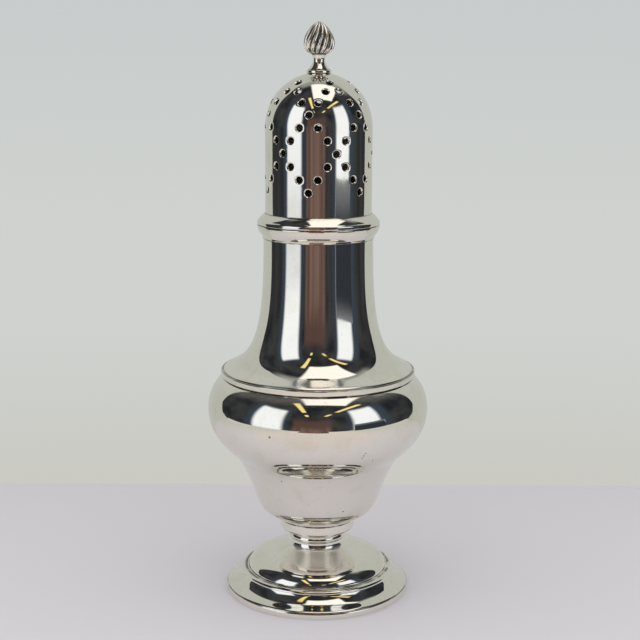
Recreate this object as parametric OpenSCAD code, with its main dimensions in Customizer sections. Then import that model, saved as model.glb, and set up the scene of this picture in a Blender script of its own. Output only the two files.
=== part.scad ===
// Sugar caster in sheet silver: a vase body on a spreading foot, with a pierced pull-off cover.
// Millimetres. The origin is the centre of the foot's underside and +Z is up.

/* [Sheet and fits] */
// Thickness of the spun sheet
sheet = 0.8; // [0.6:0.05:1.2]
// Gap filled with solder between two round seats
solder_gap = 0.03; // [0.01:0.01:0.06]
// Radial clearance of the cover's sleeve in the neck
sleeve_fit = 0.05; // [0.02:0.01:0.1]

/* [Foot wire] */
// Radius of the foot where it stands
foot_r = 32.8; // [31.5:0.1:38]
// Height of the wire round the foot's edge
wire_h = 2.2; // [1.7:0.1:3]
// Width of the ring that the foot stands on
wire_w = 2.8; // [2.3:0.1:4]
// How far the wire leans in above its middle
wire_lean = 0.25; // [0.1:0.05:0.3]
// How far the wire stands out beyond the foot's skirt
wire_out = 0.35; // [0.3:0.05:0.8]

/* [Foot] */
// Width of the rolled lip above the wire
lip_w = 3.25; // [2.4:0.05:4]
// Height of the rolled lip above the wire
lip_h = 2.1; // [1.4:0.1:3]
// Width of the hollow flare above the lip
flare_w = 1.95; // [1.4:0.05:3]
// Height of the hollow flare above the lip
flare_h = 2.5; // [1.8:0.1:4]
// Height of the bead above the flare
bead_h = 1.15; // [0.6:0.05:1.6]
// Width of that bead
bead_w = 1.8; // [1:0.1:2.4]
// Width of the groove between the bead and the upper step
groove_w = 0.65; // [0.5:0.05:1]
// Depth of that groove
groove_h = 0.2; // [0.1:0.05:0.3]
// Width of the upper step's rounded edge
step_w = 4.4; // [3.4:0.1:5.4]
// Height of the upper step's rounded edge
step_h = 4.4; // [3.4:0.1:5.4]
// Height of the low cone above the upper step
cone_h = 2.55; // [1.8:0.05:3.6]
// Width of the hollow between the cone and the stem
hollow_w = 3.25; // [2.4:0.05:4]
// Height of that hollow
hollow_h = 3.6; // [2.8:0.1:6]
// Radius of the stem above the hollow
stem_r = 9.55; // [8:0.05:11]

/* [Stem collar and knop] */
// Height of the stem collar
collar_h = 2.5; // [1.5:0.1:4]
// How far the stem collar swells beyond the stem
collar_swell = 0.75; // [0.3:0.05:1.2]
// Height of the knop under the bowl
knop_h = 4.8; // [4:0.1:8]
// Upright band at the top of the knop
knop_band_h = 2.1; // [1:0.1:2.4]
// Largest radius of the knop
knop_r = 13.3; // [12.6:0.1:15]
// Wall of the cast knop
knop_wall = 1; // [0.8:0.1:1.5]
// Width of the knop's rounded upper edge
knop_edge = 0.5; // [0.2:0.1:0.6]

/* [Bowl] */
// Radius of the bowl's flat floor
floor_r = 13.1; // [12:0.1:16]
// Height of the cup from the floor to its middle
cup_h = 13.7; // [11:0.1:20]
// Radius at the middle of the cup
cup_r = 23.8; // [21:0.1:26]
// Height from there to the bend under the bulb
bend_h = 11.1; // [8:0.1:16]
// Radius at the bend under the bulb
bend_r = 29.7; // [28:0.1:33]
// Height from the bend to the widest part of the bulb
bulb_h = 16.4; // [12:0.1:22]
// Largest radius of the bulb
bulb_r = 38.8; // [36:0.1:44]
// Height from the widest part to the seam collar
crown_h = 11.6; // [9:0.1:18]

/* [Seam and girdle] */
// Radius of the seam between bowl and neck
seam_r = 33.2; // [31.5:0.1:35]
// Height of the upright collar on each side of the seam
seam_h = 1.05; // [0.8:0.05:2]
// How far the girdle wire stands out from the seam
girdle_out = 0.85; // [0.5:0.05:1.6]
// Rounding of the girdle's edges
girdle_round = 0.35; // [0.1:0.05:0.4]

/* [Neck] */
// Height of the flared shoulder above the seam collar
shoulder_h = 2.4; // [1.8:0.1:4]
// Width of the rolled edge of the shoulder
shoulder_w = 3.8; // [2.5:0.1:5]
// Height of the flared part of the neck
flare_neck_h = 43.9; // [36:0.1:56]
// Radius of the neck at the top
neck_r = 19; // [17:0.1:21]

/* [Rims] */
// Height of the moulded rim round the neck's mouth
neck_rim_h = 4.8; // [3.8:0.1:7]
// Height of the plain fillet under that rim
fillet_h = 0.7; // [0.3:0.1:1.2]
// How far the fillet stands out from the neck
fillet_out = 0.3; // [0.2:0.05:0.8]
// How far both rims stand out from the neck
rim_out = 2.15; // [1.8:0.05:3.5]
// Height of the cover's rim
cover_rim_h = 3.8; // [3.2:0.1:5.5]
// Upright band at the bottom of the cover's rim
cover_band_h = 0.9; // [0.4:0.1:1.2]
// Rounding of the rims where they meet
rim_round = 0.3; // [0.1:0.05:0.4]
// Height of the step inside the cover's rim that the dome stands on
rim_step_h = 1.7; // [1:0.1:2.4]

/* [Cover] */
// Outer radius of the dome
dome_r = 18.35; // [17.4:0.05:19.2]
// Height of the dome's upright side above the rim's step
dome_side_h = 31.3; // [26:0.1:40]
// Radius of the flat seat for the finial on the crown
crown_r = 4.3; // [3.6:0.1:5.5]
// Length of the sleeve below the mouth
sleeve_h = 13; // [8:0.5:20]
// Wall of the sleeve
sleeve_wall = 0.7; // [0.5:0.05:1]

/* [Piercing] */
// Diamonds in the trellis round the dome
diamonds = 6; // [4:1:8]
// Rows of holes
rows = 10; // [4:1:10]
// Spacing of the rows along the dome
row_pitch = 4.28; // [3.6:0.02:4.4]
// Height of the lowest row above the cover's rim
first_row = 8.3; // [5:0.1:9]
// Diameter of a hole
hole_d = 2.2; // [1.4:0.1:2.6]
// Width of the bevel round a hole
hole_bevel = 0.35; // [0.1:0.05:0.4]
// Turn of the trellis from the front towards +X, in degrees
trellis_turn = -10.8; // [-30:0.1:30]

/* [Finial] */
// Height of the finial's round flange
flange_h = 1.3; // [0.9:0.1:2]
// Height of the hollow between the flange and the slender neck
cove_h = 3.2; // [2.4:0.1:4.5]
// Height from the slender neck to the flame
spindle_h = 2; // [1.4:0.1:3]
// Radius of the slender neck
spindle_r = 2; // [1.85:0.05:2.4]
// Radius of the seat under the flame
flame_seat_r = 2.5; // [2.2:0.1:3]
// Height of the flame
flame_h = 10.8; // [8:0.1:16]
// Largest radius of the flame
flame_r = 5.35; // [4.2:0.05:7]
// Height of the flame's largest radius
flame_belly_h = 3.3; // [2.5:0.1:5]
// Tongues round the flame
tongues = 14; // [8:1:16]
// Depth of the grooves between tongues, as a share of the radius
groove = 0.2; // [0.05:0.01:0.3]
// Twist of the tongues, in degrees
flame_twist = 45; // [0:1:90]
// Radius of the screwed shank
shank_r = 1.5; // [1.1:0.1:1.7]
// Length of the shank below the crown
shank_h = 5; // [4:0.1:8]
// Radius of the nut on the shank
nut_r = 3.4; // [2.8:0.1:4]
// Thickness of the nut
nut_h = 2.2; // [1.4:0.1:2.8]
// Radial clearance of the shank in the crown and the nut
shank_fit = 0.05; // [0.02:0.01:0.1]

/* [Hidden] */
$fn = 96;
curve_steps = 14;
groove_steps = 6;
silver = [0.82, 0.81, 0.78];

// Below 1, the stem collar is fullest under its middle
collar_skew = 0.75;

// Leans of the profiles from upright, in degrees
lip_lean = 46.5;
step_lean = 72;
cone_lean = 66;
knop_lean = 25;
floor_lean = 61;
cup_lean = 20;
bend_lean = 49;
seam_lean = 56;
shoulder_lean = 60;
rim_lean = 40;
cove_lean = 25;

// Radii of the foot, from the edge in
skirt_r = foot_r - wire_out;
lip_r = skirt_r - lip_w;
flare_r = lip_r - flare_w;
ledge_r = flare_r - bead_w;
step_r = ledge_r - groove_w;
top_r = step_r - step_w;
cone_r = stem_r + hollow_w;

// Heights of the joints, from the table up
lip_z = wire_h + lip_h;
bead_z = lip_z + flare_h;
ledge_z = bead_z + bead_h;
step_z = ledge_z + step_h;
cone_z = step_z + cone_h;
collar_z = cone_z + hollow_h;
knop_z = collar_z + collar_h;
floor_z = knop_z + knop_h;
knop_edge_z = floor_z - knop_edge;
knop_band_z = knop_edge_z - knop_band_h;
cup_z = floor_z + cup_h;
bend_z = cup_z + bend_h;
bulb_z = bend_z + bulb_h;
girdle_z = bulb_z + crown_h;
seam_z = girdle_z + seam_h;
shoulder_z = seam_z + seam_h;
flare_neck_z = shoulder_z + shoulder_h;
neck_rim_z = flare_neck_z + flare_neck_h;
mouth_z = neck_rim_z + neck_rim_h;
dome_z = mouth_z + rim_step_h;
dome_centre_z = dome_z + dome_side_h;
crown_z = dome_centre_z + sqrt(pow(dome_r, 2) - pow(crown_r, 2));
flange_z = crown_z + flange_h;
spindle_z = flange_z + cove_h;
flame_z = spindle_z + spindle_h;

// Radii of the fits
rim_r = neck_r + rim_out;
bore_r = neck_r - sheet;
sleeve_r = bore_r - sleeve_fit;

// A point on the curve that leaves a towards b and reaches d from c
function bend_at(a, b, c, d, t) =
    a * pow(1 - t, 3) + 3 * b * t * pow(1 - t, 2) + 3 * c * t * t * (1 - t) + d * pow(t, 3);

function curve(a, b, c, d) = [for (i = [0:curve_steps]) bend_at(a, b, c, d, i / curve_steps)];

// A step of length pull along a profile that rises with the given lean outwards
function rise(lean, pull) = pull * [sin(lean), cos(lean)];

// A quarter round between two points, upright at the first and level at the second
function quarter(a, b) = [for (i = [0:curve_steps]) let (t = 90 * i / curve_steps)
    [b[0] + (a[0] - b[0]) * cos(t), a[1] + (b[1] - a[1]) * sin(t)]];

// A quarter round between two points, level at the first and upright at the second
function quarter_level(a, b) = [for (i = [0:curve_steps]) let (t = 90 * i / curve_steps)
    [a[0] + (b[0] - a[0]) * sin(t), b[1] + (a[1] - b[1]) * cos(t)]];

function reversed(p) = [for (i = [len(p) - 1:-1:0]) p[i]];

function heading(p, i) = let (d = p[min(i + 1, len(p) - 1)] - p[max(i - 1, 0)]) d / norm(d);

// A profile drawn from the bottom up, moved in by the wall
function inside(p, wall) = [for (i = [0:len(p) - 1])
    let (d = heading(p, i)) p[i] + wall * [-d[1], d[0]]];

module turned(profile) color(silver) rotate_extrude() polygon(profile);

module spun(profile) turned(concat(profile, reversed(inside(profile, sheet))));

// The wire that the foot's skirt stands on
module foot_rim() {
    turned([
        [foot_r - wire_w, wire_h], [foot_r - wire_w, 0], [foot_r, 0],
        [foot_r, 0.5 * wire_h], [foot_r - wire_lean, wire_h]
    ]);
}

// The spun foot: lip, hollow flare, bead, groove, rounded step, low cone and the hollow up to the stem
module foot() {
    lip = curve(
        [skirt_r, wire_h], [skirt_r, wire_h + 0.3 * lip_h],
        [lip_r, lip_z] - rise(-lip_lean, 0.45 * lip_w), [lip_r, lip_z]);
    flare = curve(
        [lip_r, lip_z], [lip_r, lip_z] + rise(-lip_lean, 0.8 * flare_w),
        [flare_r, bead_z - 0.17 * flare_h], [flare_r, bead_z]);
    bead = quarter([flare_r, bead_z], [ledge_r, ledge_z]);
    channel = [[step_r + groove_w / 2, ledge_z - groove_h], [step_r, ledge_z]];
    step = curve(
        [step_r, ledge_z], [step_r, ledge_z + 0.28 * step_h],
        [top_r, step_z] - rise(-step_lean, 0.64 * step_w), [top_r, step_z]);
    cone_pull = 0.32 * (top_r - cone_r);
    cone = curve(
        [top_r, step_z], [top_r, step_z] + rise(-step_lean, cone_pull),
        [cone_r, cone_z] - rise(-cone_lean, cone_pull), [cone_r, cone_z]);
    hollow = curve(
        [cone_r, cone_z], [cone_r, cone_z] + rise(-cone_lean, 0.3 * hollow_w),
        [stem_r, collar_z - 0.74 * hollow_h], [stem_r, collar_z]);
    under_z = ledge_z - groove_h - sheet;
    turned(concat(
        lip, flare, bead, channel, step, cone, hollow,
        reversed(inside(hollow, sheet)), reversed(inside(cone, sheet)), reversed(inside(step, sheet)),
        [[step_r - sheet, under_z], [flare_r - sheet, under_z]],
        [for (p = reversed(inside(flare, sheet))) if (p[1] < under_z) p],
        [[skirt_r - sheet, wire_h]]
    ));
}

// The swelling ring between the stem and the knop, fullest below its middle
module stem_collar() {
    swell = [for (i = [0:curve_steps]) let (t = i / curve_steps)
        [stem_r + collar_swell * sin(180 * pow(t, collar_skew)), collar_z + collar_h * t]];
    turned(concat(swell, [[stem_r - sheet, knop_z], [stem_r - sheet, collar_z]]));
}

// The cast cup that carries the bowl
module knop() {
    cup_rise = knop_band_z - knop_z;
    cup = curve(
        [stem_r, knop_z], [stem_r, knop_z] + rise(knop_lean, 0.2 * cup_rise),
        [knop_r, knop_band_z - 0.8 * cup_rise], [knop_r, knop_band_z]);
    seat_r = knop_r - knop_edge;
    turned(concat(
        cup, quarter([knop_r, knop_edge_z], [seat_r, floor_z]),
        [[seat_r - knop_wall, floor_z], [seat_r - knop_wall, knop_band_z],
            [stem_r - sheet, knop_z + knop_wall], [stem_r - sheet, knop_z]]
    ));
}

// The spun lower body: flat floor, cup, bend, bulb and the upright collar at the seam
module bowl() {
    cup = curve(
        [floor_r, floor_z], [floor_r, floor_z] + rise(floor_lean, 0.68 * cup_h),
        [cup_r, cup_z] - rise(cup_lean, 0.77 * cup_h), [cup_r, cup_z]);
    bend = curve(
        [cup_r, cup_z], [cup_r, cup_z] + rise(cup_lean, 0.4 * bend_h),
        [bend_r, bend_z] - rise(bend_lean, 0.22 * bend_h), [bend_r, bend_z]);
    bulb = curve(
        [bend_r, bend_z], [bend_r, bend_z] + rise(bend_lean, 0.35 * bulb_h),
        [bulb_r, bulb_z - 0.5 * bulb_h], [bulb_r, bulb_z]);
    crown = curve(
        [bulb_r, bulb_z], [bulb_r, bulb_z + 0.48 * crown_h],
        [seam_r, girdle_z] - rise(-seam_lean, 0.25 * crown_h), [seam_r, girdle_z]);
    spun(concat([[0, floor_z]], cup, bend, bulb, crown, [[seam_r, seam_z]]));
}

// The wire over the seam
module girdle() {
    out_r = seam_r + girdle_out;
    turned(concat(
        [[seam_r + solder_gap, girdle_z]],
        quarter_level([out_r - girdle_round, girdle_z], [out_r, girdle_z + girdle_round]),
        quarter([out_r, shoulder_z - girdle_round], [out_r - girdle_round, shoulder_z]),
        [[seam_r + solder_gap, shoulder_z]]
    ));
}

// The spun upper body: seam collar, rolled shoulder, flared neck and the straight mouth
module neck() {
    edge = [seam_r - shoulder_w, flare_neck_z];
    shoulder = curve(
        [seam_r, shoulder_z], [seam_r, shoulder_z + 0.2 * shoulder_h],
        edge - rise(-shoulder_lean, 0.8 * shoulder_w), edge);
    flare = curve(
        edge, edge + rise(-shoulder_lean, 0.2 * flare_neck_h),
        [neck_r, flare_neck_z + 0.31 * flare_neck_h], [neck_r, neck_rim_z]);
    spun(concat([[seam_r, seam_z]], shoulder, flare, [[neck_r, mouth_z]]));
}

// The moulded rim round the mouth: a fillet and a swelling that widens to the cover's seat
module neck_rim() {
    edge_z = mouth_z - rim_round;
    swell_z = neck_rim_z + fillet_h;
    fillet_r = neck_r + fillet_out;
    swell = curve(
        [fillet_r, swell_z], [fillet_r, swell_z] + rise(rim_lean, 0.35 * neck_rim_h),
        [rim_r, edge_z - 0.3 * neck_rim_h], [rim_r, edge_z]);
    turned(concat(
        [[neck_r + solder_gap, neck_rim_z], [fillet_r, neck_rim_z]],
        swell, quarter([rim_r, edge_z], [rim_r - rim_round, mouth_z]),
        [[neck_r + solder_gap, mouth_z]]
    ));
}

// The cover's rim: it rests on the neck's rim and holds the dome and the sleeve
module cover_rim() {
    band_z = mouth_z + cover_band_h;
    top_z = mouth_z + cover_rim_h;
    dome_seat_r = dome_r + solder_gap;
    sleeve_seat_r = sleeve_r + solder_gap;
    turned(concat(
        [[sleeve_seat_r, mouth_z]],
        quarter_level([rim_r - rim_round, mouth_z], [rim_r, mouth_z + rim_round]),
        curve(
            [rim_r, band_z], [rim_r, band_z + 0.5 * (top_z - band_z)],
            [dome_seat_r + 0.6 * (rim_r - dome_seat_r), top_z - 0.2 * (top_z - band_z)],
            [dome_seat_r, top_z]),
        [[dome_seat_r, dome_z], [sleeve_seat_r, dome_z]]
    ));
}

// The sleeve that slides into the neck and holds the cover by friction
module cover_sleeve() {
    low_z = mouth_z - sleeve_h;
    turned([
        [sleeve_r - sleeve_wall, low_z], [sleeve_r, low_z],
        [sleeve_r, dome_z], [sleeve_r - sleeve_wall, dome_z]
    ]);
}

// One bevelled hole through the dome, at a height along its side and an angle from the front
module piercing(along, turn) {
    side = dome_centre_z - mouth_z;
    tilt = max(0, along - side) / dome_r * 180 / PI;
    hole_r = hole_d / 2;
    low = dome_r - 2 * sheet;
    top = dome_r + 2 * hole_bevel;
    rotate(turn - 90)
        translate([0, 0, mouth_z + min(along, side)])
            rotate([0, 90 - tilt, 0])
                rotate_extrude()
                    polygon([
                        [0, low], [hole_r, low], [hole_r, dome_r - hole_bevel],
                        [hole_r + 3 * hole_bevel, top], [0, top]
                    ]);
}

// The trellis: two strands of holes that cross at the corners of each diamond
module trellis() {
    corner = 360 / diamonds / 2;
    for (row = [0:rows - 1]) {
        phase = row % 6;
        swing = corner * (phase <= 3 ? phase : 6 - phase) / 3;
        sides = swing == 0 || swing == corner ? [1] : [-1, 1];
        for (i = [0:diamonds - 1], side = sides)
            piercing(cover_rim_h + first_row + row * row_pitch,
                trellis_turn + 2 * corner * i + side * swing);
    }
}

// A round-topped form with a flat crown
module dome_form(r, low_z, top_z) {
    intersection() {
        union() {
            translate([0, 0, low_z])
                cylinder(r = r, h = dome_centre_z - low_z);
            translate([0, 0, dome_centre_z])
                sphere(r = r);
        }
        translate([0, 0, low_z])
            cylinder(r = 2 * r, h = top_z - low_z);
    }
}

// The pierced dome
module dome() {
    color(silver) difference() {
        dome_form(dome_r, dome_z, crown_z);
        dome_form(dome_r - sheet, dome_z - sheet, crown_z - sheet);
        translate([0, 0, crown_z - 2 * sheet])
            cylinder(r = shank_r + shank_fit, h = 3 * sheet);
        trellis();
    }
}

// The turned flange and slender neck of the finial, with the shank that passes through the crown
module finial_pedestal() {
    shelf_r = 0.86 * crown_r;
    edge_h = 0.4 * flange_h;
    flange = concat(
        quarter_level([shelf_r, crown_z], [crown_r, crown_z + edge_h]),
        quarter([crown_r, flange_z - edge_h], [shelf_r, flange_z]));
    cove = curve(
        [shelf_r, flange_z], [shelf_r, flange_z] + rise(-cove_lean, 0.34 * cove_h),
        [spindle_r, spindle_z - 0.32 * cove_h], [spindle_r, spindle_z]);
    spindle = curve(
        [spindle_r, spindle_z], [spindle_r, spindle_z + 0.5 * spindle_h],
        [flame_seat_r, flame_z - 0.2 * spindle_h], [flame_seat_r, flame_z]);
    turned(concat(
        [[0, crown_z - shank_h], [shank_r, crown_z - shank_h], [shank_r, crown_z]],
        flange, cove, spindle, [[0, flame_z]]
    ));
}

// The cast flame: tongues that swell from the seat and twist up to the tip
module finial_flame() {
    sides = tongues * groove_steps;
    belly_z = flame_z + flame_belly_h;
    outline = concat(
        curve(
            [flame_seat_r, flame_z],
            [0.35 * flame_seat_r + 0.65 * flame_r, flame_z + 0.15 * flame_belly_h],
            [flame_r, belly_z - 0.5 * flame_belly_h], [flame_r, belly_z]),
        [for (i = [1:curve_steps - 1]) bend_at(
            [flame_r, belly_z], [flame_r, belly_z + 0.45 * (flame_h - flame_belly_h)],
            [0.42 * flame_r, flame_z + 0.96 * flame_h], [0, flame_z + flame_h],
            i / curve_steps)]);
    last = len(outline) - 1;
    ring = function (k) [for (i = [0:sides - 1])
        let (
            up = (outline[k][1] - flame_z) / flame_h,
            turn = 360 * i / sides,
            tongue = abs(cos(tongues / 2 * (turn - flame_twist * up))),
            depth = k == 0 ? 0 : groove * (1 - 0.6 * up),
            r = outline[k][0] * (1 - depth * (1 - tongue)))
        [r * cos(turn), r * sin(turn), outline[k][1]]];
    points = concat(
        [for (k = [0:last]) each ring(k)],
        [[0, 0, flame_z], [0, 0, flame_z + flame_h]]);
    foot_i = len(points) - 2;
    tip_i = len(points) - 1;
    faces = concat(
        [for (k = [0:last - 1], i = [0:sides - 1]) let (j = (i + 1) % sides)
            each [[k * sides + i, (k + 1) * sides + i, (k + 1) * sides + j],
                [k * sides + i, (k + 1) * sides + j, k * sides + j]]],
        [for (i = [0:sides - 1]) [foot_i, i, (i + 1) % sides]],
        [for (i = [0:sides - 1]) [tip_i, last * sides + (i + 1) % sides, last * sides + i]]);
    color(silver) polyhedron(points, faces);
}

// The round nut that draws the finial down on the crown
module finial_nut() {
    color(silver) translate([0, 0, crown_z - sheet - nut_h]) difference() {
        cylinder(r = nut_r, h = nut_h);
        translate([0, 0, -nut_h])
            cylinder(r = shank_r + shank_fit, h = 3 * nut_h);
    }
}

foot_rim();
foot();
stem_collar();
knop();
bowl();
girdle();
neck();
neck_rim();
cover_rim();
cover_sleeve();
dome();
finial_pedestal();
finial_flame();
finial_nut();
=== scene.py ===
"""A silver sugar caster on a pale table: turned silver shells, a pierced dome and a twisted flame."""
import math

import bpy
import numpy as np
from mathutils import Matrix, Vector


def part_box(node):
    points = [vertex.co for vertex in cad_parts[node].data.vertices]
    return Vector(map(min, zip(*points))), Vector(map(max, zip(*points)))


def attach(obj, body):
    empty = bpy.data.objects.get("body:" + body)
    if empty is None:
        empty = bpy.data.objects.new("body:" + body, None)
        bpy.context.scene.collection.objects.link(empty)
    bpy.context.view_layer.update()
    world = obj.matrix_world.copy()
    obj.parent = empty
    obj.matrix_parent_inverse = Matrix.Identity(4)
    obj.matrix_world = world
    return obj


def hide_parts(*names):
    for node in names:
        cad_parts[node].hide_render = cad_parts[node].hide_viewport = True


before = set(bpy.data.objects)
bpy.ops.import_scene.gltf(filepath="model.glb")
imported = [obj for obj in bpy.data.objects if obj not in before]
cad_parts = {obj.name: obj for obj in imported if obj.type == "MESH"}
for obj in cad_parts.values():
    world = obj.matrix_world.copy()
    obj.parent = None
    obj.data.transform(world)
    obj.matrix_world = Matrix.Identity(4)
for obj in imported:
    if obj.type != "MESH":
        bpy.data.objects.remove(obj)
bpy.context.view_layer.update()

MM = 0.001


# Camera

def photograph_camera():
    """Camera 444 mm in front of the caster and 186.5 mm up, looking down with a slight roll."""
    place, down, turn, focal_pixels, picture_pixels = (0.67, -444, 186.5), 11.3, 0.242, 1291, 640
    data = bpy.data.cameras.new("photograph")
    data.sensor_width = 36
    data.lens = 36 * focal_pixels / picture_pixels
    data.clip_start = 0.01
    camera = bpy.data.objects.new("photograph", data)
    tilt = Matrix.Rotation(math.radians(90 - down), 4, "X")
    roll = Matrix.Rotation(math.radians(turn), 4, "Z")
    camera.matrix_world = Matrix.Translation(Vector(place) * MM) @ tilt @ roll
    bpy.context.scene.collection.objects.link(camera)
    bpy.context.scene.camera = camera


# Profiles, in millimetres, as rows of (radius, height)

def bend(a, b, c, d, steps=40):
    """Cubic curve that leaves a towards b and reaches d from c."""
    t = np.linspace(0, 1, steps)[:, None]
    a, b, c, d = (np.array(p, float) for p in (a, b, c, d))
    return a * (1 - t) ** 3 + 3 * b * t * (1 - t) ** 2 + 3 * c * t * t * (1 - t) + d * t ** 3


def rise(lean, pull):
    """Step of length pull along a profile that leans outwards from upright by lean degrees."""
    return pull * np.array([math.sin(math.radians(lean)), math.cos(math.radians(lean))])


def quarter(a, b, steps=14):
    """Quarter ellipse, upright at a and level at b."""
    t = np.linspace(0, math.pi / 2, steps)
    return np.stack([b[0] + (a[0] - b[0]) * np.cos(t), a[1] + (b[1] - a[1]) * np.sin(t)], 1)


def quarter_level(a, b, steps=14):
    """Quarter ellipse, level at a and upright at b."""
    t = np.linspace(0, math.pi / 2, steps)
    return np.stack([a[0] + (b[0] - a[0]) * np.sin(t), b[1] + (a[1] - b[1]) * np.cos(t)], 1)


def inside(profile, wall):
    """Profile drawn upwards, moved in along its normal by the wall, drawn downwards."""
    way = np.gradient(profile, axis=0)
    way /= np.linalg.norm(way, axis=1)[:, None]
    return (profile + wall * np.stack([-way[:, 1], way[:, 0]], 1))[::-1]


def run(*parts):
    """Parts of a profile one after another, without repeated points."""
    points = np.vstack([np.atleast_2d(np.array(p, float)) for p in parts])
    step = np.linalg.norm(np.diff(points, axis=0), axis=1)
    return points[np.concatenate([[True], step > 1e-5])]


def eased(points, radius, closed):
    """Each corner sharper than 20 degrees becomes a small curve that starts and ends radius away from it."""
    before = np.roll(points, 1, 0) if closed else np.vstack([points[:1], points[:-1]])
    after = np.roll(points, -1, 0) if closed else np.vstack([points[1:], points[-1:]])
    come, go = points - before, after - points
    come_l, go_l = np.linalg.norm(come, axis=1), np.linalg.norm(go, axis=1)
    come /= np.maximum(come_l, 1e-9)[:, None]
    go /= np.maximum(go_l, 1e-9)[:, None]
    sharp = (np.sum(come * go, 1) < math.cos(math.radians(20))) & (come_l > 0) & (go_l > 0)
    reach = np.where(sharp, np.minimum(radius, 0.45 * np.minimum(come_l, go_l)), 0)[:, None, None]
    t = np.linspace(0, 1, 5)[None, :, None]
    curve = points[:, None] + reach * (t ** 2 * go[:, None] - (1 - t) ** 2 * come[:, None])
    return run(curve.reshape(-1, 2))


# Meshes

def skin(name, points, faces):
    """Mesh object from points in millimetres and a list of face arrays, shaded smooth."""
    mesh = bpy.data.meshes.new(name)
    mesh.from_pydata((points * MM).tolist(), [], [f for part in faces for f in part.tolist()])
    mesh.update()
    mesh.shade_smooth()
    piece = bpy.data.objects.new(name, mesh)
    bpy.context.scene.collection.objects.link(piece)
    return piece


def ring_faces(lower, upper):
    """Quads between two closed rows of point numbers, facing outwards when upper lies above lower."""
    return np.stack([lower, np.roll(lower, -1, -1), np.roll(upper, -1, -1), upper], -1).reshape(-1, 4)


def turned(name, profile, around=256, ease=0.08):
    """Profile carried round the axis. It is a closed loop, or runs from the axis to the axis."""
    closed = profile[0, 0] > 1e-6
    loop = eased(profile, ease, closed)
    if not closed:
        loop = loop[1:-1]
    turn = np.arange(around) * 2 * math.pi / around
    shape = np.stack([
        loop[:, :1] * np.cos(turn), loop[:, :1] * np.sin(turn), loop[:, 1:] * np.ones(around)], -1)
    points = shape.reshape(-1, 3)
    number = np.arange(len(points)).reshape(len(loop), around)
    faces = [ring_faces(number[:-1], number[1:])]
    if closed:
        faces.append(ring_faces(number[-1], number[0]))
    else:
        low, high = len(points), len(points) + 1
        points = np.vstack([points, [0, 0, profile[0, 1]], [0, 0, profile[-1, 1]]])
        nxt = np.roll(number, -1, 1)
        faces.append(np.stack([np.full(around, low), nxt[0], number[0]], 1))
        faces.append(np.stack([np.full(around, high), number[-1], nxt[-1]], 1))
    return skin(name, points, faces)


# Sizes, from the frame

def span(node):
    """Radius, lowest height and highest height of a turned node, in millimetres."""
    low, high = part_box(node)
    return high.x / MM, low.z / MM, high.z / MM


wire_r, wire_low, wire_top = span("foot_rim")
skirt_r, _, stem_top = span("foot")
ring_r, ring_low, ring_top = span("stem_collar")
knop_r, knop_low, knop_top = span("knop")
bulb_r, floor_z, seam_z = span("bowl")
girdle_r, girdle_low, girdle_top = span("girdle")
seam_r, _, mouth_z = span("neck")
rim_r, rim_low, rim_top = span("neck_rim")
cap_r, cap_low, cap_top = span("cover_rim")
sleeve_r, sleeve_low, sleeve_top = span("cover_sleeve")
dome_r, dome_low, crown_z = span("dome")
base_r, shank_low, flame_low = span("finial_pedestal")
_, _, tip_z = span("finial_flame")
nut_r, nut_low, nut_top = span("finial_nut")

sheet = 0.8
solder_gap = 0.03
rim_round = 0.3
stem_r = 9.55
neck_r = 19.0
crown_r = base_r
dome_side = 31.3
dome_centre = (dome_low + dome_side) * MM
shank_r = 1.5
shank_hole_r = shank_r + 0.05
flame_seat_r = 2.5


# Body pieces

def foot_wire():
    """Ring that the foot stands on: flat below and above, upright outside and leaning in above its middle."""
    return turned("foot_wire", np.array([
        [wire_r - 2.8, wire_top], [wire_r - 2.8, wire_low], [wire_r, wire_low],
        [wire_r, 0.5 * wire_top], [wire_r - 0.25, wire_top]]))


def foot_shell():
    """Spun foot: rolled lip, hollow flare, bead, groove, rounded step, low cone and the hollow up to the
    stem. The leans are those of the profile where two of these meet."""
    groove_w, groove_h = 0.65, 0.2
    lip_lean, step_lean, cone_lean = -46.5, -72, -66
    lip = np.array([skirt_r - 3.25, wire_top + 2.1])
    flare_top = lip + [-1.95, 2.5]
    ledge = flare_top + [-1.8, 1.15]
    step_low = ledge - [groove_w, 0]
    step_top = step_low + [-4.4, 4.4]
    cone_top = np.array([stem_r + 3.25, step_top[1] + 2.55])
    stem = np.array([stem_r, stem_top])
    roll = bend([skirt_r, wire_top], [skirt_r, wire_top + 0.63], lip - rise(lip_lean, 1.46), lip)
    flare = bend(lip, lip + rise(lip_lean, 1.56), flare_top - [0, 0.425], flare_top)
    bead = quarter(flare_top, ledge)
    t = np.linspace(0, math.pi, 15)
    groove = np.stack([ledge[0] - groove_w * t / math.pi, ledge[1] - groove_h * np.sin(t)], 1)
    step = bend(step_low, step_low + [0, 1.23], step_top - rise(step_lean, 2.82), step_top, 50)
    cone = bend(step_top, step_top + rise(step_lean, 2.43), cone_top - rise(cone_lean, 2.43), cone_top)
    hollow = bend(cone_top, cone_top + rise(cone_lean, 0.975), stem - [0, 2.66], stem, 50)
    under_z = ledge[1] - groove_h - sheet
    below = inside(flare, sheet)
    return turned("foot_shell", run(
        roll, flare, bead, groove, step, cone, hollow,
        inside(hollow, sheet)[::2], inside(cone, sheet)[::2], inside(step, sheet)[::2],
        [[step_low[0] - sheet, under_z], [flare_top[0] - sheet, under_z]], below[below[:, 1] < under_z],
        [[skirt_r - sheet, wire_top]]))


def stem_ring():
    """Small swelling ring: half a sine wave outwards, fullest below its middle."""
    t = np.linspace(0, 1, 30)
    swell = np.stack([stem_r + (ring_r - stem_r) * np.sin(math.pi * t ** 0.75),
                      ring_low + (ring_top - ring_low) * t], 1)
    return turned("stem_ring", run(
        swell, [[stem_r - sheet, ring_top], [stem_r - sheet, ring_low]]), 192)


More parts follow.
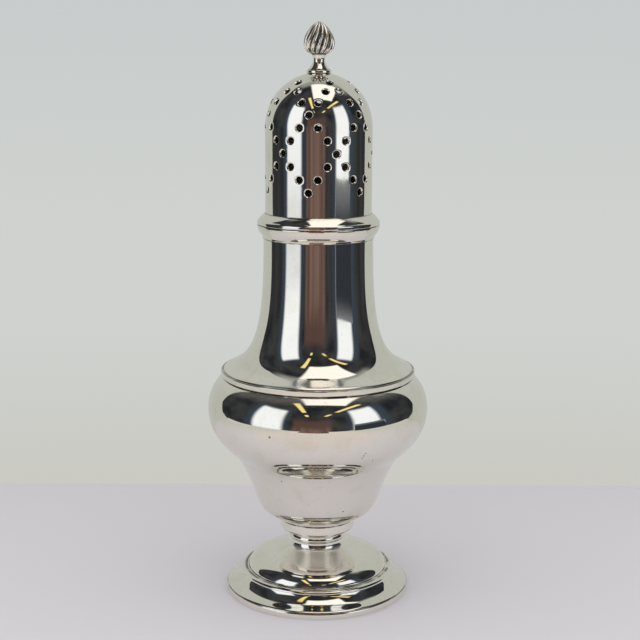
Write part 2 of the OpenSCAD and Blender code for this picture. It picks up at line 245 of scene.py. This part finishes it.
def knop_cup():
    """Cast cup under the bowl: it leans out from the ring, turns upright and ends in a narrow round edge."""
    edge, band_z = 0.2, knop_top - 2.6
    tall = band_z - knop_low
    cup = bend([stem_r, knop_low], [stem_r, knop_low] + rise(25, 0.2 * tall),
               [knop_r, band_z - 0.8 * tall], [knop_r, band_z])
    seat = knop_r - 1.5
    return turned("knop_cup", run(
        cup, quarter([knop_r, knop_top - edge], [knop_r - edge, knop_top], 8),
        [[seat, knop_top], [seat, band_z], [stem_r - sheet, knop_low + 1], [stem_r - sheet, knop_low]]), 192)


def bowl_shell():
    """Spun body: flat floor, cup, bend, bulb and crown up to the upright collar at the seam. The leans are
    those of the profile where two of these meet."""
    floor_lean, cup_lean, bulb_lean, seam_lean = 61, 20, 49, -56
    floor = np.array([13.1, floor_z])
    cup_top = np.array([23.8, floor_z + 13.7])
    bend_top = cup_top + [5.9, 11.1]
    widest = np.array([bulb_r, bend_top[1] + 16.4])
    seam = np.array([seam_r, girdle_low])
    cup = bend(floor, floor + rise(floor_lean, 9.32), cup_top - rise(cup_lean, 10.55), cup_top, 60)
    hollow = bend(cup_top, cup_top + rise(cup_lean, 4.44), bend_top - rise(bulb_lean, 2.44), bend_top, 28)
    bulb = bend(bend_top, bend_top + rise(bulb_lean, 5.74), widest - [0, 8.2], widest, 44)
    crown = bend(widest, widest + [0, 5.57], seam - rise(seam_lean, 2.9), seam, 44)
    outer = run(cup, hollow, bulb, crown, [[seam_r, seam_z]])
    return turned("bowl_shell", run(
        [[0, floor_z]], outer, inside(outer, sheet)[::2], [[0, floor_z + sheet]]))


def girdle_wire():
    """Half-round wire over the seam of the body."""
    soft = 0.35
    return turned("girdle_wire", run(
        [[seam_r + solder_gap, girdle_low]],
        quarter_level([girdle_r - soft, girdle_low], [girdle_r, girdle_low + soft]),
        quarter([girdle_r, girdle_top - soft], [girdle_r - soft, girdle_top]),
        [[seam_r + solder_gap, girdle_top]]))


def neck_shell():
    """Spun neck: seam collar, rolled shoulder, a long hollow flare and a straight mouth."""
    edge, edge_lean = np.array([seam_r - 3.8, girdle_top + 2.4]), -60
    tall = rim_low - edge[1]
    shoulder = bend([seam_r, girdle_top], [seam_r, girdle_top + 0.48], edge - rise(edge_lean, 3.04), edge)
    flare = bend(edge, edge + rise(edge_lean, 0.2 * tall),
                 [neck_r, edge[1] + 0.31 * tall], [neck_r, rim_low], 90)
    outer = run([[seam_r, seam_z]], shoulder, flare, [[neck_r, mouth_z]])
    return turned("neck_shell", run(outer, inside(outer, sheet)[::2]))


def neck_moulding():
    """Rim round the mouth: a thin fillet, then a swelling up to the cover's seat."""
    edge_z, fillet_r, tall = rim_top - rim_round, neck_r + 0.3, rim_top - rim_low
    start = np.array([fillet_r, rim_low + 0.7])
    swell = bend(start, start + rise(40, 0.35 * tall), [rim_r, edge_z - 0.3 * tall], [rim_r, edge_z])
    return turned("neck_moulding", run(
        [[neck_r + solder_gap, rim_low], [fillet_r, rim_low]], swell,
        quarter([rim_r, edge_z], [rim_r - rim_round, rim_top], 8), [[neck_r + solder_gap, rim_top]]))


# Cover pieces

def cover_moulding():
    """Rim of the cover: an upright band, a tight round edge, then a slope that flattens on its way in to
    the dome."""
    band_z, seat_r, bore = cap_low + 0.9, dome_r + solder_gap, sleeve_r + solder_gap
    edge_r, edge_z = cap_r - 0.55, band_z + 0.85
    edge = bend([cap_r, band_z], [cap_r, band_z + 0.45], [edge_r + 0.2, edge_z - 0.28], [edge_r, edge_z])
    slope = bend([edge_r, edge_z], [edge_r - 0.56, edge_z + 0.77],
                 [seat_r + 0.92, cap_top - 0.6], [seat_r, cap_top])
    return turned("cover_moulding", run(
        [[bore, cap_low]], quarter_level([cap_r - rim_round, cap_low], [cap_r, cap_low + rim_round], 8),
        edge, slope, [[seat_r, dome_low], [bore, dome_low]]))


def cover_tube():
    """Plain sleeve that slides into the neck."""
    sleeve_wall = 0.7
    bore = sleeve_r - sleeve_wall
    return turned("cover_tube", run(
        [[bore, sleeve_low], [sleeve_r, sleeve_low], [sleeve_r, sleeve_top], [bore, sleeve_top]]))


def pierced_dome():
    """Upright side under a quarter sphere, on a grid of height and turn. Round each hole, the cell's edge is
    drawn in to a circle, a bevel and a straight wall, which joins the same cell of the inner surface."""
    side = dome_side
    centre = np.array([0, 0, dome_low + side])
    bore = dome_r - sheet
    top = side + dome_r * math.acos(crown_r / dome_r)
    pitch, first, rows, split_s, split_t, side_rows = 4.28, 10.4, 10, 10, 6, 10
    around = 36 * split_t
    start = first - pitch / 2
    end = start + rows * pitch
    levels = run(*[np.stack([np.linspace(a, b, n + 1), np.zeros(n + 1)], 1) for a, b, n in (
        (0, start, side_rows), (start, end, rows * split_s), (end, top, 8))])[:, 0]
    turns = np.radians(-100.8) + np.arange(around) * 2 * math.pi / around

    def onto(points, radius):
        """The point of the dome's surface nearest to each point."""
        above = np.maximum(points[..., 2] - centre[2], 0)
        arm = np.stack([points[..., 0], points[..., 1], above], -1)
        arm *= radius / np.linalg.norm(arm, axis=-1)[..., None]
        low = np.minimum(points[..., 2], centre[2])
        return arm + low[..., None] * np.array([0, 0, 1])

    def surface(radius):
        """Side and quarter sphere at one radius, with a point at each level and turn."""
        lean = np.maximum(levels - side, 0) / dome_r
        r, z = radius * np.cos(lean), dome_low + np.minimum(levels, side) + radius * np.sin(lean)
        return np.stack([r[:, None] * np.cos(turns), r[:, None] * np.sin(turns),
                         z[:, None] * np.ones(around)], -1)

    outer, inner = surface(dome_r), surface(bore)
    count = outer.shape[0] * around
    number = np.arange(count).reshape(-1, around)

    phase = np.arange(rows) % 6
    swing = np.where(phase <= 3, phase, 6 - phase)
    both = (swing % 3 != 0)
    row = np.concatenate([np.repeat(np.arange(rows), 6), np.repeat(np.arange(rows)[both], 6)])
    edge = np.concatenate([
        (swing[:, None] + 6 * np.arange(6)).ravel(), (-swing[both][:, None] + 6 * np.arange(6)).ravel()])

    level0 = side_rows + row * split_s
    column = np.arange(-split_t, split_t + 1)
    height = np.arange(split_s + 1)
    cell_c = np.concatenate([
        column[:-1], np.full(split_s, split_t), column[:0:-1], np.full(split_s, -split_t)])
    cell_h = np.concatenate([
        np.zeros(2 * split_t, int), height[:-1], np.full(2 * split_t, split_s), height[:0:-1]])
    border = number[level0[:, None] + cell_h, (edge[:, None] * split_t + cell_c) % around]

    along = first + row * pitch
    lean = np.maximum(along - side, 0) / dome_r
    turn = turns[0] + edge * math.radians(10)
    out = np.stack([np.cos(lean) * np.cos(turn), np.cos(lean) * np.sin(turn), np.sin(lean)], 1)
    east = np.stack([-np.sin(turn), np.cos(turn), 0 * turn], 1)
    north = np.cross(out, east)
    foot = np.array([0, 0, 1]) * (dome_low + np.minimum(along, side))[:, None]
    wide = dome_r * np.cos(lean) * math.radians(10)
    spoke = np.arctan2((cell_h / split_s - 0.5) * pitch, wide[:, None] * cell_c / split_t)
    arm = np.cos(spoke)[..., None] * east[:, None] + np.sin(spoke)[..., None] * north[:, None]

    def circle(r, deep):
        """Ring of radius r about each hole, a share deep of the way through the wall."""
        ends = [onto((foot + reach * out)[:, None] + r * arm, reach) for reach in (dome_r, bore)]
        return (1 - deep) * ends[0] + deep * ends[1]

    flat_out, flat_in = outer.reshape(-1, 3), inner.reshape(-1, 3)
    rings = [(1.53, 0.0), (1.46, 0.02), (1.4, 0.07), (1.2, 0.3),
             (1.12, 0.42), (1.1, 0.55), (1.1, 0.93), (1.15, 1.0)]
    walls = [circle(r, deep) for r, deep in rings]
    near = [onto(s * walls[0] + (1 - s) * flat_out[border], dome_r) for s in (0.35, 0.7)]
    far = [onto(s * walls[-1] + (1 - s) * flat_in[border], bore) for s in (0.5,)]
    chain = near + walls + far
    new = np.arange(len(chain) * border.size).reshape(len(chain), *border.shape) + 2 * count
    path = [border, *new, border + count]
    faces = [ring_faces(a, b) for a, b in zip(path[:-1], path[1:])]

    free = np.ones((len(levels) - 1, around), bool)
    free[(level0[:, None, None] + height[:-1, None]),
         (edge[:, None, None] * split_t + column[:-1]) % around] = False
    nxt = np.roll(number, -1, 1)
    quads = np.stack([number[:-1], nxt[:-1], nxt[1:], number[1:]], -1)[free]
    faces += [quads, quads[:, ::-1] + count, ring_faces(number[0] + count, number[0])]

    low_crown = inner[-1, 0, 2]
    lid = np.stack([
        np.stack([shank_hole_r * np.cos(turns), shank_hole_r * np.sin(turns), z * np.ones(around)], 1)
        for z in (crown_z, low_crown)])
    base = 2 * count + len(chain) * border.size
    lid_n = base + np.arange(2 * around).reshape(2, around)
    for a, b in ((number[-1], lid_n[0]), (lid_n[0], lid_n[1]), (lid_n[1], number[-1] + count)):
        faces.append(ring_faces(a, b))
    points = np.vstack([flat_out, flat_in, np.stack(chain).reshape(-1, 3), lid.reshape(-1, 3)])
    return skin("pierced_dome", points, faces)


# Finial pieces

def finial_base():
    """Turned flange with a half-round edge, a hollow and a slender neck, over a plain shank."""
    flange_z, slim_z, slim, flange_round = crown_z + 1.3, crown_z + 4.5, 2.0, 0.52
    shelf = np.array([0.86 * crown_r, flange_z])
    return turned("finial_base", run(
        [[0, shank_low], [shank_r, shank_low], [shank_r, crown_z]],
        quarter_level([shelf[0], crown_z], [crown_r, crown_z + flange_round]),
        quarter([crown_r, flange_z - flange_round], shelf),
        bend(shelf, shelf + rise(-25, 1.09), [slim, slim_z - 1.02], [slim, slim_z]),
        bend([slim, slim_z], [slim, slim_z + 1], [flame_seat_r, flame_low - 0.4], [flame_seat_r, flame_low]),
        [[0, flame_low]]), 128, 0.05)


def flame():
    """Belly and pointed top as one outline. Round it, a rectified cosine raises fourteen tongues, which turn
    as they go from the seat to the tip and are shallower towards it."""
    tongues, around, twist = 14, 336, math.radians(45)
    tall = tip_z - flame_low
    belly_z = flame_low + 3.3
    wide = 5.35
    outline = run(
        bend([flame_seat_r, flame_low], [0.35 * flame_seat_r + 0.65 * wide, flame_low + 0.5],
             [wide, belly_z - 1.65], [wide, belly_z], 40),
        bend([wide, belly_z], [wide, belly_z + 0.45 * (tip_z - belly_z)],
             [0.42 * wide, flame_low + 0.96 * tall], [0, tip_z], 60))[:-1]
    up = (outline[:, 1:] - flame_low) / tall
    turn = np.arange(around) * 2 * math.pi / around
    tongue = np.abs(np.cos(tongues / 2 * (turn - twist * up)))
    depth = 0.26 * (1 - 0.5 * up) * np.minimum(1, up / 0.04)
    r = outline[:, :1] * (1 - depth * (1 - tongue))
    shape = np.stack([r * np.cos(turn), r * np.sin(turn), outline[:, 1:] * np.ones(around)], -1)
    number = np.arange(shape.size // 3).reshape(len(outline), around)
    low, high = number.size, number.size + 1
    points = np.vstack([shape.reshape(-1, 3), [0, 0, flame_low], [0, 0, tip_z]])
    nxt = np.roll(number, -1, 1)
    piece = skin("flame", points, [
        ring_faces(number[:-1], number[1:]),
        np.stack([np.full(around, low), nxt[0], number[0]], 1),
        np.stack([np.full(around, high), number[-1], nxt[-1]], 1)])
    # The hollow attribute marks the grooves between tongues; the silver material darkens them with tarnish
    # and painted shade.
    hollow = piece.data.attributes.new("hollow", "FLOAT", "POINT")
    hollow.data.foreach_set("value", np.append((1 - tongue).ravel(), [1, 0]))
    return piece


def finial_nut():
    """Round nut with eased edges on the shank, under the crown."""
    return turned("screw_nut", run(
        [[shank_hole_r, nut_low], [nut_r, nut_low], [nut_r, nut_top], [shank_hole_r, nut_top]]), 96, 0.25)


# Shaders

class Wire:
    """A socket of a node tree: arithmetic on it adds Math nodes, and add() makes any other node."""

    def __init__(self, tree, socket=None):
        self.tree, self.socket = tree, socket

    def add(self, kind, settings=None, sockets=None, out=0):
        node = self.tree.nodes.new(kind)
        for name, value in (settings or {}).items():
            setattr(node, name, value)
        for name, value in (sockets or {}).items():
            if isinstance(value, Wire):
                self.tree.links.new(value.socket, node.inputs[name])
            else:
                node.inputs[name].default_value = value
        return Wire(self.tree, node.outputs[out] if node.outputs else None)

    def other(self, out):
        """Another output of the same node."""
        return Wire(self.tree, self.socket.node.outputs[out])

    def math(self, operation, a, b):
        return self.add("ShaderNodeMath", {"operation": operation}, {0: a, 1: b})

    def __add__(self, b): return self.math("ADD", self, b)
    def __radd__(self, a): return self.math("ADD", a, self)
    def __sub__(self, b): return self.math("SUBTRACT", self, b)
    def __rsub__(self, a): return self.math("SUBTRACT", a, self)
    def __mul__(self, b): return self.math("MULTIPLY", self, b)
    def __rmul__(self, a): return self.math("MULTIPLY", a, self)
    def __truediv__(self, b): return self.math("DIVIDE", self, b)
    def __rtruediv__(self, a): return self.math("DIVIDE", a, self)
    def __neg__(self): return self.math("MULTIPLY", self, -1.0)


def ease(value, low, high):
    """0 below low, 1 above high, and a smooth step between."""
    return value.add("ShaderNodeMapRange", {"interpolation_type": "SMOOTHSTEP"},
                     {0: value, 1: low, 2: high, 3: 0.0, 4: 1.0})


def within(value, low, high, soft):
    """1 between low and high, with edges soft wide."""
    return ease(value, low - soft, low + soft) * (1 - ease(value, high - soft, high + soft))


def either(a, b):
    """The larger of two shares."""
    return a.math("MAXIMUM", a, b)


def paint(share, under, over):
    """Colour under, covered by colour over where share is 1."""
    sides = [c if isinstance(c, Wire) else (*c, 1.0) for c in (under, over)]
    return share.add("ShaderNodeMix", {"data_type": "RGBA"}, {0: share, 6: sides[0], 7: sides[1]}, 2)


def noise(vector, scale, detail=2.0):
    """Soft random value about 0.5 at each place."""
    return vector.add("ShaderNodeTexNoise", {}, {"Vector": vector, "Scale": scale, "Detail": detail})


def new_tree(owner):
    """Empty node tree of a material or world."""
    owner.use_nodes = True
    owner.node_tree.nodes.clear()
    return Wire(owner.node_tree)


# Place and radius of each pit in the front of the body, in millimetres
PITS = [(-15.77, -35.42, 65.4, 0.55), (-12.2, -23.93, 46.45, 0.4), (8.89, -19.96, 34.39, 0.4),
        (14.9, -33.0, 57.7, 0.35), (15.4, -33.3, 58.6, 0.4), (15.9, -33.6, 59.5, 0.35),
        (18.43, -29.64, 55.84, 0.35), (22.33, -31.33, 70.03, 0.4)]


def silver(name, tint, shade, rough, seams, worn):
    """Polished silver: smudges, fine lines round the axis, a slight unevenness of the sheet, a dark film
    beside the seams, dull dusty bands, a few pits, dark tarnish and painted shade in the hollows between
    tongues, and painted shade with a duller finish inside the holes and the dome.
    seams are (height, half width, share) and worn bands (low, high, soft edge, roughness), in millimetres."""
    material = bpy.data.materials.new(name)
    w = new_tree(material)
    place = w.add("ShaderNodeTexCoord", out="Object")
    x = w.add("ShaderNodeSeparateXYZ", {}, {0: place})
    y, z = x.other("Y"), x.other("Z") * 1000.0
    turn = w.math("ARCTAN2", x, -y)
    smudge = ease(noise(place, 150.0, 6.0), 0.5, 0.72)
    wave = noise(place, 42.0, 1.0)
    line = noise(w.add("ShaderNodeCombineXYZ", {}, {"X": turn * 0.6, "Z": z * 3.2}), 1.0, 3.0)
    speck = noise(place, 900.0, 2.0)
    broken = noise(w.add("ShaderNodeCombineXYZ", {}, {"X": turn * 7.0, "Y": 0.3, "Z": z * 0.8}), 1.0, 3.0)
    film = None
    for height, half, share in seams:
        band = (1 - ease(w.math("ABSOLUTE", z - height, 0.0), 0.35 * half, half)) * share
        film = band if film is None else either(film, band)
    film = film * ease(broken, 0.3, 0.55)
    pit = None
    for px, py, pz, r in PITS:
        gap = w.add("ShaderNodeVectorMath", {"operation": "DISTANCE"},
                    {0: place, 1: (px * MM, py * MM, pz * MM)}, 1)
        spot = 1 - ease(gap * 1000.0, 0.5 * r, r)
        pit = spot if pit is None else either(pit, spot)
    above = w.math("MAXIMUM", z / 1000.0 - dome_centre, 0.0)
    arm = w.add("ShaderNodeCombineXYZ", {}, {"X": x, "Y": y, "Z": above})
    reach = w.add("ShaderNodeVectorMath", {"operation": "LENGTH"}, {0: arm}, 1) * 1000.0
    # Inside of the dome and the inner part of its holes: the colour is darkened there as painted shade, and
    # the roughness rises for a duller finish.
    inside_painted_shade_and_dull = (1 - ease(reach, dome_r - 0.6, dome_r - 0.3)) * ease(z, dome_low, dome_low + 0.5)
    inside_painted_shade_and_dull = inside_painted_shade_and_dull * (1 - ease(z, crown_z - 0.9, crown_z - 0.6))
    dull = None
    for low, high, soft, share in worn:
        band = within(z, low, high, soft) * share
        dull = band if dull is None else either(dull, band)
    # Grooves between the flame's tongues, darkened below with tarnish and painted shade.
    hollow = ease(w.add("ShaderNodeAttribute", {"attribute_name": "hollow"}, out="Fac"), 0.25, 0.8)
    colour = paint(smudge * 0.5, tint, shade)
    colour = paint(ease(speck, 0.58, 0.75) * 0.22, colour, (0.6, 0.55, 0.4))
    colour = paint(film, colour, (0.06, 0.05, 0.035))
    colour = paint(pit * 0.7, colour, (0.05, 0.045, 0.04))
    # Tarnish and painted shade: the hollows between tongues are darkened towards dark brown.
    colour = paint(hollow * 0.85, colour, (0.1, 0.085, 0.065))
    # Painted shade: the inside of the dome and of its holes is darkened.
    colour = paint(inside_painted_shade_and_dull, colour, (0.3, 0.28, 0.24))
    roughness = rough + 0.03 * smudge + 0.02 * line + dull + 0.25 * film + 0.3 * pit + 0.35 * inside_painted_shade_and_dull
    height = wave * 0.03 + line * 0.0006 + speck * 0.0002 - pit * 0.05
    bump = w.add("ShaderNodeBump", {}, {"Strength": 1.0, "Distance": MM, "Height": height})
    shader = w.add("ShaderNodeBsdfPrincipled", {}, {
        "Base Color": colour, "Metallic": 1 - 1.8 * dull, "Roughness": roughness, "Normal": bump})
    w.add("ShaderNodeOutputMaterial", {}, {"Surface": shader})
    return material


# Stage

def room():
    """What the silver reflects, by direction: two bright windows at the front left and right, a white
    ceiling panel, two broken strip lights, a warm card straight ahead and a dim room. Azimuth and height are
    in degrees; across and ahead are places on the ceiling. The camera sees a plain pale wall."""
    world = bpy.data.worlds.new("room")
    w = new_tree(world)
    way = w.add("ShaderNodeTexCoord", out="Generated")
    x = w.add("ShaderNodeSeparateXYZ", {}, {0: way})
    y, z = x.other("Y"), x.other("Z")
    degree = 180 / math.pi
    azimuth = w.math("ARCTAN2", x, -y) * degree
    height = w.math("ARCSINE", z, 0.0) * degree
    overhead = w.math("MAXIMUM", z, 0.08)
    across, ahead = x / overhead, -y / overhead
    cloud = noise(way, 3.0, 3.0)
    streak = noise(w.add("ShaderNodeCombineXYZ", {}, {"X": azimuth * 0.08, "Z": height * 0.012}), 1.0, 2.0)
    slant = across + 0.42 * (ahead - 0.9)
    dim = paint(ease(cloud, 0.3, 0.7), (0.016, 0.019, 0.023), (0.05, 0.052, 0.055))
    halo = either(within(azimuth, -76, -32, 6), within(azimuth, 32, 72, 6)) * within(height, -16, 44, 6)
    glow = either(within(azimuth, -80, -66, 6), 1.6 * within(azimuth, 66, 80, 5)) * within(height, -14, 42, 8)
    card = within(azimuth, -25, 14, 3) * within(height, -40, 22, 8)
    left = within(across, -0.37, -0.27, 0.02) * either(
        within(ahead, 0.4, 1.1, 0.04), within(ahead, 1.36, 1.6, 0.04))
    right = within(slant, 0.46, 0.57, 0.02) * either(
        within(ahead, 0.4, 1.05, 0.04), within(ahead, 1.3, 1.55, 0.04))
    panel = within(across, -0.19, 0.48, 0.03) * within(ahead, -0.25, 0.53, 0.03)
    behind = within(across, -0.5, 0.8, 0.2) * within(ahead, -1.2, -0.22, 0.12)
    bright = within(azimuth, -70, -37, 3) * (
        0.78 * within(height, -16, 41, 3) + 0.22 * within(height, -5, 41, 3))
    pale = within(azimuth, 37.5, 67, 3) * within(height, -16, 41, 3)
    brown = paint(ease(streak, 0.35, 0.65) * (1 - ease(height, -4, 10)),
                  (0.11, 0.066, 0.055), (0.25, 0.165, 0.14))
    colour = paint(glow * 0.7, dim, (0.044, 0.062, 0.082))
    colour = paint(halo * 0.7, colour, (0.05, 0.072, 0.115))
    colour = paint(card * 0.9, colour, brown)
    colour = paint(either(left, right), colour, (1.1, 0.88, 0.36))
    colour = paint(behind * 0.8, colour, (0.42, 0.43, 0.41))
    colour = paint(panel, colour, (1.2, 1.15, 1.1))
    colour = paint(either(bright, pale), colour, (1.04, 1.09, 1.16))
    wall = paint(ease(height, -19, -10), (0.591, 0.591, 0.546), (0.624, 0.645, 0.624))
    wall = paint(ease(height, -8, 4), wall, (0.578, 0.604, 0.604))
    ray = w.add("ShaderNodeLightPath", out="Is Diffuse Ray")
    colour = paint(ray, colour, (0.95, 0.95, 0.95))
    colour = paint(ray.other("Is Camera Ray"), colour, wall)
    shader = w.add("ShaderNodeBackground", {}, {"Color": colour, "Strength": 1.0})
    w.add("ShaderNodeOutputWorld", {}, {"Surface": shader})
    world.cycles.sampling_method = "NONE"
    bpy.context.scene.world = world


def sheet_of(name, corners):
    """Flat piece of the stage, with its corners in millimetres."""
    mesh = bpy.data.meshes.new(name)
    mesh.from_pydata([[c * MM for c in corner] for corner in corners], [], [list(range(len(corners)))])
    piece = bpy.data.objects.new(name, mesh)
    bpy.context.scene.collection.objects.link(piece)
    return piece


def glowing(piece, name, colour):
    """Gives a piece of the stage an even glow in place of lamplight. The colour may vary over it."""
    material = bpy.data.materials.new(name)
    w = new_tree(material)
    if callable(colour):
        colour = colour(w.add("ShaderNodeTexCoord", out="Object"))
    else:
        colour = (*colour, 1.0)
    shader = w.add("ShaderNodeEmission", {}, {"Color": colour, "Strength": 1.0})
    w.add("ShaderNodeOutputMaterial", {}, {"Surface": shader})
    piece.data.materials.append(material)


def table():
    """Pale table top with a bay in its front edge, warmer in front of the caster and greyer at both ends."""
    top = sheet_of("table", [
        (-600, 111, 0), (-600, -300, 0), (-420, -560, 0), (-190, -640, 0), (-150, -420, 0),
        (80, -420, 0), (120, -640, 0), (420, -560, 0), (600, -300, 0), (600, 111, 0)])
    material = bpy.data.materials.new("pale_table")
    w = new_tree(material)
    place = w.add("ShaderNodeTexCoord", out="Object")
    x = w.add("ShaderNodeSeparateXYZ", {}, {0: place})
    colour = paint(ease(x.other("Y"), -0.16, -0.05), (0.835, 0.765, 0.735), (0.81, 0.777, 0.825))
    colour = paint(ease(w.math("ABSOLUTE", x, 0.0), 0.13, 0.34), colour, (0.68, 0.69, 0.65))
    shader = w.add("ShaderNodeBsdfPrincipled", {}, {"Base Color": colour, "Roughness": 0.9})
    w.add("ShaderNodeOutputMaterial", {}, {"Surface": shader})
    top.data.materials.append(material)


def surround():
    """Wider table round the first, seen by the camera only."""
    floor = sheet_of("surround", [
        (-3000, -3000, -0.6), (3000, -3000, -0.6), (3000, 111, -0.6), (-3000, 111, -0.6)])
    floor.visible_glossy = floor.visible_diffuse = floor.visible_shadow = False
    glowing(floor, "pale_surround", (0.6, 0.575, 0.61))


def backdrop():
    """Pale board behind the caster, wider at its foot, seen in the silver."""
    board = sheet_of("backdrop", [
        (-520, 111, 0), (520, 111, 0), (330, 111, 55), (260, 111, 110),
        (260, 111, 440), (-250, 111, 440), (-250, 111, 110), (-320, 111, 55)])
    board.visible_camera = False
    glowing(board, "pale_board", (0.52, 0.54, 0.51))


def dark_card():
    """Low dark card at the front right, paler towards its top and seen in the silver only. It hides the foot
    of the right-hand window."""
    card = sheet_of("dark_card", [(215, -300, 28), (350, -130, 28), (350, -130, 118), (215, -300, 118)])
    card.visible_camera = card.visible_diffuse = card.visible_shadow = False

    def fading(place):
        """Dark below 85 mm, and paler from there to the top edge."""
        z = place.add("ShaderNodeSeparateXYZ", {}, {0: place}, 2)
        return paint(ease(z, 0.085, 0.118), (0.032, 0.038, 0.05), (0.2, 0.215, 0.235))

    glowing(card, "dark_card", fading)


photograph_camera()
bpy.context.scene.view_settings.view_transform = "Standard"
room()
table()
surround()
backdrop()
dark_card()

body_seams = [
    (wire_top, 0.3, 0.7), (wire_top + 5.9, 0.34, 0.9), (stem_top, 0.3, 0.6), (knop_low, 0.3, 0.6),
    (floor_z, 0.35, 0.5), (girdle_low, 0.45, 1.0), (girdle_top, 0.3, 0.6), (rim_low, 0.3, 0.7),
    (mouth_z, 0.3, 0.8), (cap_top, 0.3, 0.5)]
body_worn = [
    (wire_top + 10.6, wire_top + 14.4, 0.7, 0.16), (girdle_low - 2, girdle_low, 1.2, 0.05),
    (girdle_top + 0.3, girdle_top + 2.4, 0.4, 0.06)]
finial_seams = [(crown_z, 0.25, 0.8), (crown_z + 1.3, 0.25, 0.7), (flame_low, 0.5, 0.8)]
finial_worn = [(flame_low + 0.5, tip_z, 0.5, 0.02)]
polished = silver(
    "polished_silver", (0.87, 0.838, 0.765), (0.78, 0.74, 0.62), 0.03, body_seams, body_worn)
cast = silver("cast_silver", (0.92, 0.885, 0.81), (0.8, 0.75, 0.65), 0.09, finial_seams, finial_worn)

for body, finish, slot, made in (
        ("vessel", polished, "polished_silver", (
            (foot_wire, "foot_rim"), (foot_shell, "foot"), (stem_ring, "stem_collar"), (knop_cup, "knop"),
            (bowl_shell, "bowl"), (girdle_wire, "girdle"), (neck_shell, "neck"),
            (neck_moulding, "neck_rim"))),
        ("cover", polished, "polished_silver", (
            (cover_moulding, "cover_rim"), (cover_tube, "cover_sleeve"), (pierced_dome, "dome"))),
        ("cover", cast, "cast_silver", (
            (finial_base, "finial_pedestal"), (flame, "finial_flame"), (finial_nut, "finial_nut")))):
    for make, node in made:
        piece = make()
        piece.data.materials.append(finish)
        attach(piece, body)
        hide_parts(node)
